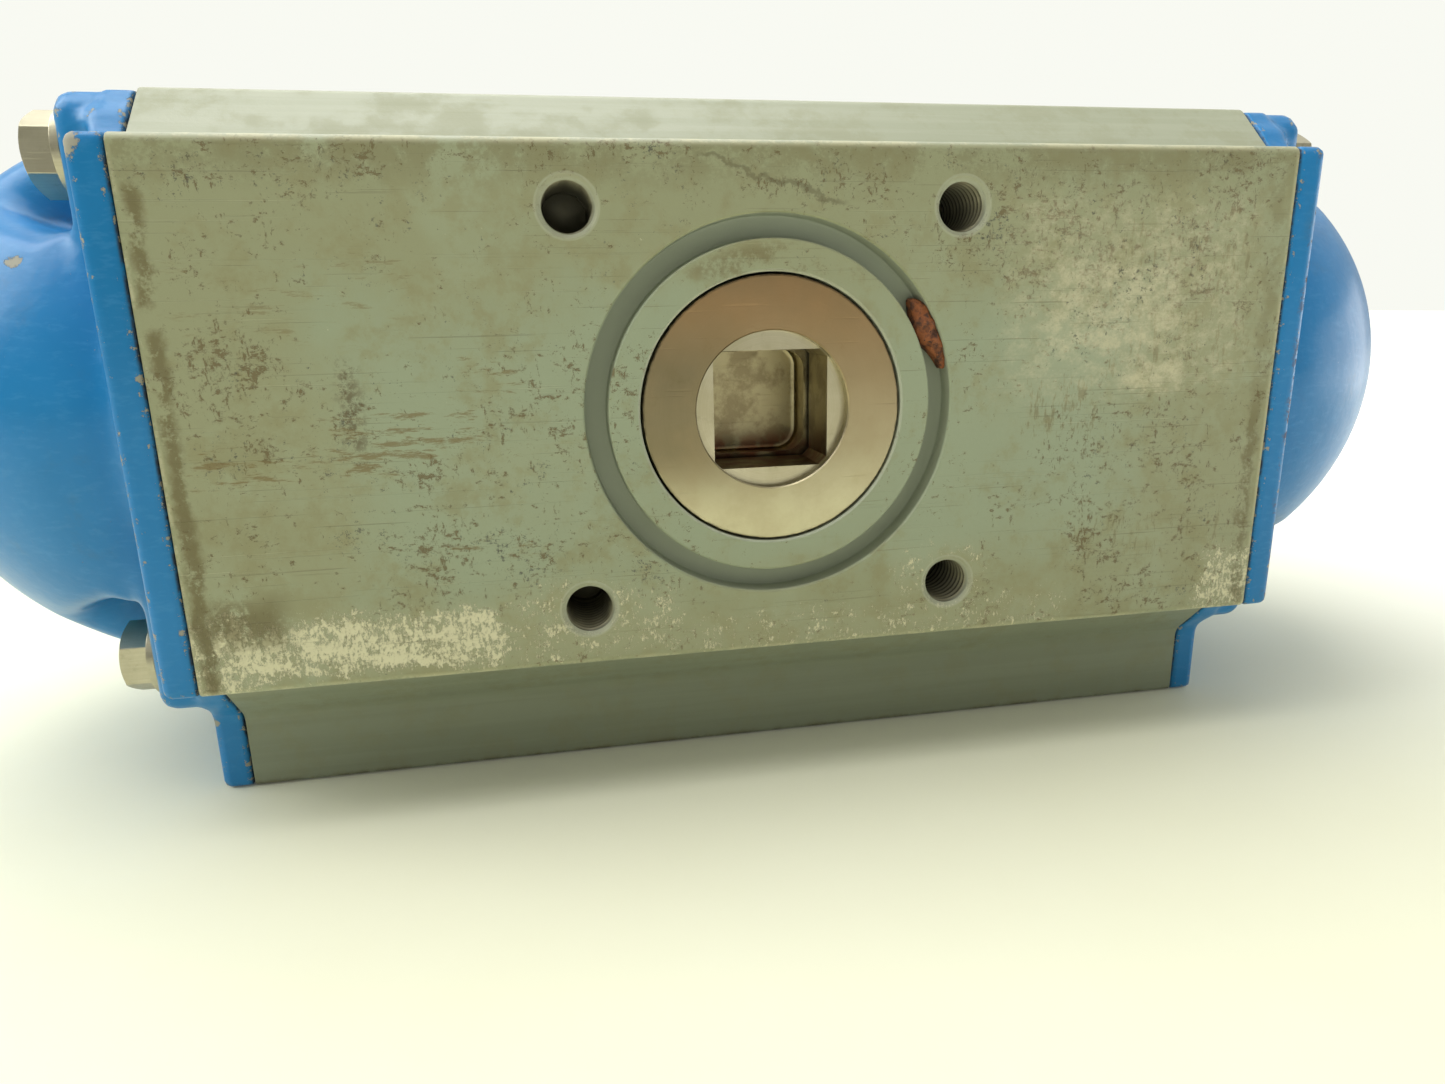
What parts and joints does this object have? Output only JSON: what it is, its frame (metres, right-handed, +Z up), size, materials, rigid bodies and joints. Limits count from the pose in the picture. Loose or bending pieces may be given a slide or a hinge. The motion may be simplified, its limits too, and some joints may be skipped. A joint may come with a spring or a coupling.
{
  "type": "rotary pneumatic actuator",
  "caption": "Quarter-turn rack-and-pinion pneumatic actuator with domed end caps, a female square drive and a flanged mounting face.",
  "frame": {"origin": "centre of the flat valve face on the underside, directly below the shaft axis", "axes": "+X along the cylinder, -Y out of the mounting face with the square drive, +Z up from the valve face; the shaft axis is parallel to Y at z = 0.0755"},
  "size_m": [0.3428, 0.161, 0.1445],
  "materials": {
    "blue_paint": "satin",
    "grey_coat": "satin",
    "turned_steel": "turned",
    "stainless": "satin",
    "cast_aluminium": "cast",
    "black_rubber": "matte",
    "bearing_polymer": "matte",
    "spring_steel": "oiled",
    "black_plastic": "matte"
  },
  "bodies": {
    "actuator_body": {"housing": "grey_coat", "left_end_cap": "blue_paint", "right_end_cap": "blue_paint", "front_bush": "bearing_polymer", "rear_bush": "bearing_polymer", "gallery_plug": "stainless", "left_cap_bolt_1": "stainless", "left_cap_washer_1": "stainless", "left_cap_bolt_2": "stainless", "left_cap_washer_2": "stainless", "left_cap_bolt_3": "stainless", "left_cap_washer_3": "stainless", "left_cap_bolt_4": "stainless", "left_cap_washer_4": "stainless", "left_cap_seal": "black_rubber", "left_gallery_seal": "black_rubber", "left_outer_spring": "spring_steel", "left_inner_spring": "spring_steel", "right_cap_bolt_1": "stainless", "right_cap_washer_1": "stainless", "right_cap_bolt_2": "stainless", "right_cap_washer_2": "stainless", "right_cap_bolt_3": "stainless", "right_cap_washer_3": "stainless", "right_cap_bolt_4": "stainless", "right_cap_washer_4": "stainless", "right_cap_seal": "black_rubber", "right_gallery_seal": "black_rubber", "right_outer_spring": "spring_steel", "right_inner_spring": "spring_steel", "closed_lock_nut": "stainless", "closed_stop_seal": "black_rubber", "open_lock_nut": "stainless", "open_stop_seal": "black_rubber"},
    "shaft": {"pinion_shaft": "turned_steel", "front_shaft_seal": "black_rubber", "rear_shaft_seal": "black_rubber", "thrust_washer": "bearing_polymer", "retaining_ring": "spring_steel", "position_indicator": "black_plastic", "indicator_screw": "stainless"},
    "left_piston_group": {"left_piston": "cast_aluminium", "left_rack_pad": "bearing_polymer", "left_piston_seal": "black_rubber", "left_guide_ring": "bearing_polymer"},
    "right_piston_group": {"right_piston": "cast_aluminium", "right_rack_pad": "bearing_polymer", "right_piston_seal": "black_rubber", "right_guide_ring": "bearing_polymer"},
    "closed_stop": {"closed_stop_screw": "stainless"},
    "open_stop": {"open_stop_screw": "stainless"}
  },
  "joints": [
    {"name": "shaft_turn", "type": "hinge", "parent": "actuator_body", "child": "shaft", "pos_m": [0, 0, 0.0755], "axis": [0, 1, 0], "range_deg": [0, 90]},
    {"name": "right_piston_stroke", "type": "slide", "parent": "actuator_body", "child": "right_piston_group", "axis": [1, 0, 0], "range_m": [0, 0.03299], "deforming": ["right_outer_spring", "right_inner_spring"]},
    {"name": "left_piston_stroke", "type": "slide", "parent": "actuator_body", "child": "left_piston_group", "axis": [-1, 0, 0], "range_m": [0, 0.03299], "deforming": ["left_outer_spring", "left_inner_spring"]},
    {"name": "closed_stop_adjust", "type": "slide", "parent": "actuator_body", "child": "closed_stop", "axis": [0, 0, 1], "range_m": [0, 0.004]},
    {"name": "open_stop_adjust", "type": "slide", "parent": "actuator_body", "child": "open_stop", "axis": [0, 0, 1], "range_m": [0, 0.004]}
  ],
  "couplings": [
    {"joint": "right_piston_stroke", "follows": "shaft_turn", "m_per_rad": 0.021},
    {"joint": "left_piston_stroke", "follows": "shaft_turn", "m_per_rad": 0.021}
  ]
}
